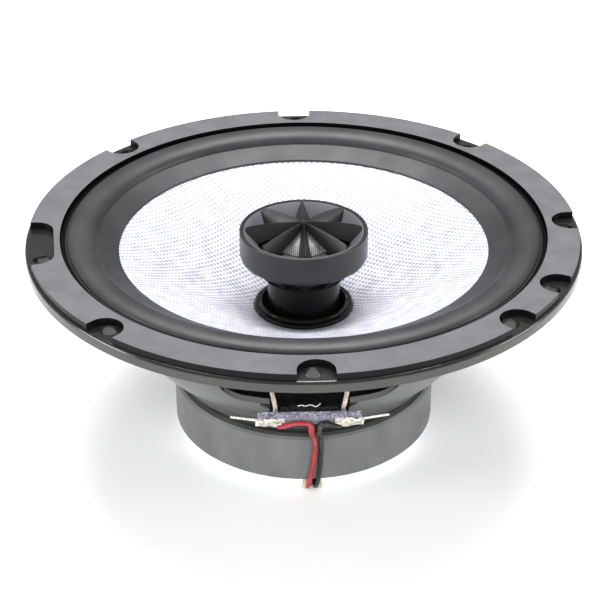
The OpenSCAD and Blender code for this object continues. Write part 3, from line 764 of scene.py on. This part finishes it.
RED_ROUTE = [(-9.0, -54.1, 32.9), (-7.0, -54.2, 33.1), (-4.8, -54.2, 33.9), (-2.4, -54.3, 34.1),
             (-0.8, -54.1, 33.8), (0.2, -53.4, 32.9), (0.5, -52.3, 31.3), (0.8, -47.8, 26.6),
             (1.4, -43.9, 22.6), (1.9, -42.3, 20.0), (2.1, -41.3, 16.5), (1.8, -41.0, 12.0),
             (1.0, -41.0, 7.0), (0.3, -40.9, 3.6), (-0.1, -39.8, 1.5), (-0.2, -37.6, 1.1),
             (-0.2, -28.0, 1.1), (-0.2, -16.0, 1.1), (-0.4, -8.0, 1.1), (-1.0, -3.0, 1.4),
             (-1.1, -0.8, 3.2), (-1.1, 0, 8.0), (-1.1, 0, 20.0), (-1.1, 0, 40.0), (-1.1, 0, 55.0)]
BLACK_ROUTE = [(9.0, -54.1, 32.9), (7.0, -54.2, 33.1), (5.0, -54.2, 33.9), (3.6, -54.0, 33.6),
               (2.9, -53.3, 32.6), (2.9, -52.0, 31.0), (2.9, -47.6, 26.0), (3.4, -43.6, 22.0),
               (3.8, -41.9, 19.0), (3.8, -40.9, 15.0), (3.5, -40.8, 9.0), (2.9, -40.8, 4.0),
               (2.3, -39.8, 1.5), (2.1, -37.6, 1.1), (2.1, -28.0, 1.1), (2.1, -16.0, 1.1), (1.8, -8.0, 1.1),
               (1.2, -3.0, 1.4), (1.1, -0.8, 3.2), (1.1, 0, 8.0), (1.1, 0, 20.0), (1.1, 0, 40.0),
               (1.1, 0, 55.0)]
SLEEVE_ROUTE = [(0.5, -52.3, 31.3), (0.8, -47.8, 26.6), (1.4, -43.9, 22.6)]
TINSEL_ROUTE = [(9.6, -53.7, 35.04), (9.6, -53.1, 35.53), (9.6, -52.3, 36.15), (9.6, -51.8, 36.75),
                (9.6, -51.8, 37.5), (9.6, -52.4, 38.4), (9.7, -53.4, 39.5), (9.9, -54.0, 40.9),
                (10.3, -53.6, 42.9), (11.0, -51.2, 45.6), (11.8, -46.0, 48.0), (12.2, -40.0, 49.6),
                (11.8, -35.0, 49.6), (11.0, -31.6, 48.8)]
WIRE_R = 0.7

dress(tube("wire_red_pvc", RED_ROUTE, WIRE_R), "red_insulation", "chassis", "wire_red")
dress(tube("wire_black_pvc", BLACK_ROUTE, WIRE_R), "black_insulation", "chassis", "wire_black")
dress(tube("sleeve_red_heatshrink", SLEEVE_ROUTE, WIRE_R + 0.25), "red_sleeve", "chassis", "wire_sleeve")
for side, word in ((-1, "left"), (1, "right")):
    route = [(side * x, y, z) for x, y, z in TINSEL_ROUTE]
    lead = braid(f"tinsel_braid_{word}", route, 0.7)
    dress(lead, "tinsel", None, f"tinsel_lead_{word}")
    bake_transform(lead)


# Solder joints: a lump over each lug's foot and the stripped end of its wire

BOARD_LEAN = math.radians(39)


def on_board(x, out, up):
    """A point of the terminal board's frame, in millimetres: across, away from the wall, up its slope."""
    c, s = math.cos(BOARD_LEAN), math.sin(BOARD_LEAN)
    return (x, -53.9 - out * c - up * s, 37.7 - out * s + up * c)


left_parts = [(on_board(-11.7, 2.1, -2.4), (2.9, 1.1, 2.7), 0.4),
              (on_board(-9.7, 2.3, -3.5), (2.0, 0.95, 1.7), 1.7),
              (on_board(-8.3, 2.4, -4.3), (1.3, 0.8, 0.8), 2.6)]
left_solder = lumps("solder_left", left_parts, 0.16, BOARD_LEAN)
dress(left_solder, "solder", "chassis", "solder_joints")
right_parts = [(on_board(11.8, 2.1, -2.4), (2.9, 1.1, 2.6), 2.1),
               (on_board(9.8, 2.4, -3.6), (2.0, 1.0, 1.8), 0.9),
               (on_board(8.2, 2.3, -2.9), (1.3, 0.7, 0.8), 4.2),
               (on_board(10.5, 2.3, -5.0), (1.3, 0.7, 0.8), 5.0)]
right_solder = lumps("solder_right", right_parts, 0.18, BOARD_LEAN)
dress(right_solder, "solder", "chassis", "solder_joints")


# Adhesive beside the wires in the back plate's groove

left_glue = lumps("glue_left", [((-0.7, -39.1, 1.9), (1.0, 0.9, 1.7), 1.1)], 0.16)
dress(left_glue, "beige_glue", "chassis", "wire_adhesive")
right_glue = lumps("glue_right", [((3.4, -39.1, 1.9), (0.9, 0.9, 1.6), 3.3)], 0.16)
dress(right_glue, "beige_glue", "chassis", "wire_adhesive")


# The capacitor's own lead, bent across its sleeve

CAP_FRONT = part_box("capacitor")[0].y / MM
CAP_MID = (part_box("capacitor")[0].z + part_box("capacitor")[1].z) / 2 / MM
lead_bends = [(-4.0, 0.7, 0.2), (-3.2, 0.0, 0.6), (-2.2, -0.12, 0.9), (-1.2, -0.12, 0.5),
              (-0.3, -0.12, 0.95), (0.7, -0.12, 0.8), (1.6, -0.12, 0.3), (2.4, 0.0, 0.7),
              (3.0, 0.7, 0.9)]
lead_route = [(x, CAP_FRONT + y, CAP_MID + z) for x, y, z in lead_bends]
dress(tube("capacitor_lead", lead_route, 0.13, 10), "tinned_brass", "chassis")

bpy.context.scene.view_settings.view_transform = "Standard"
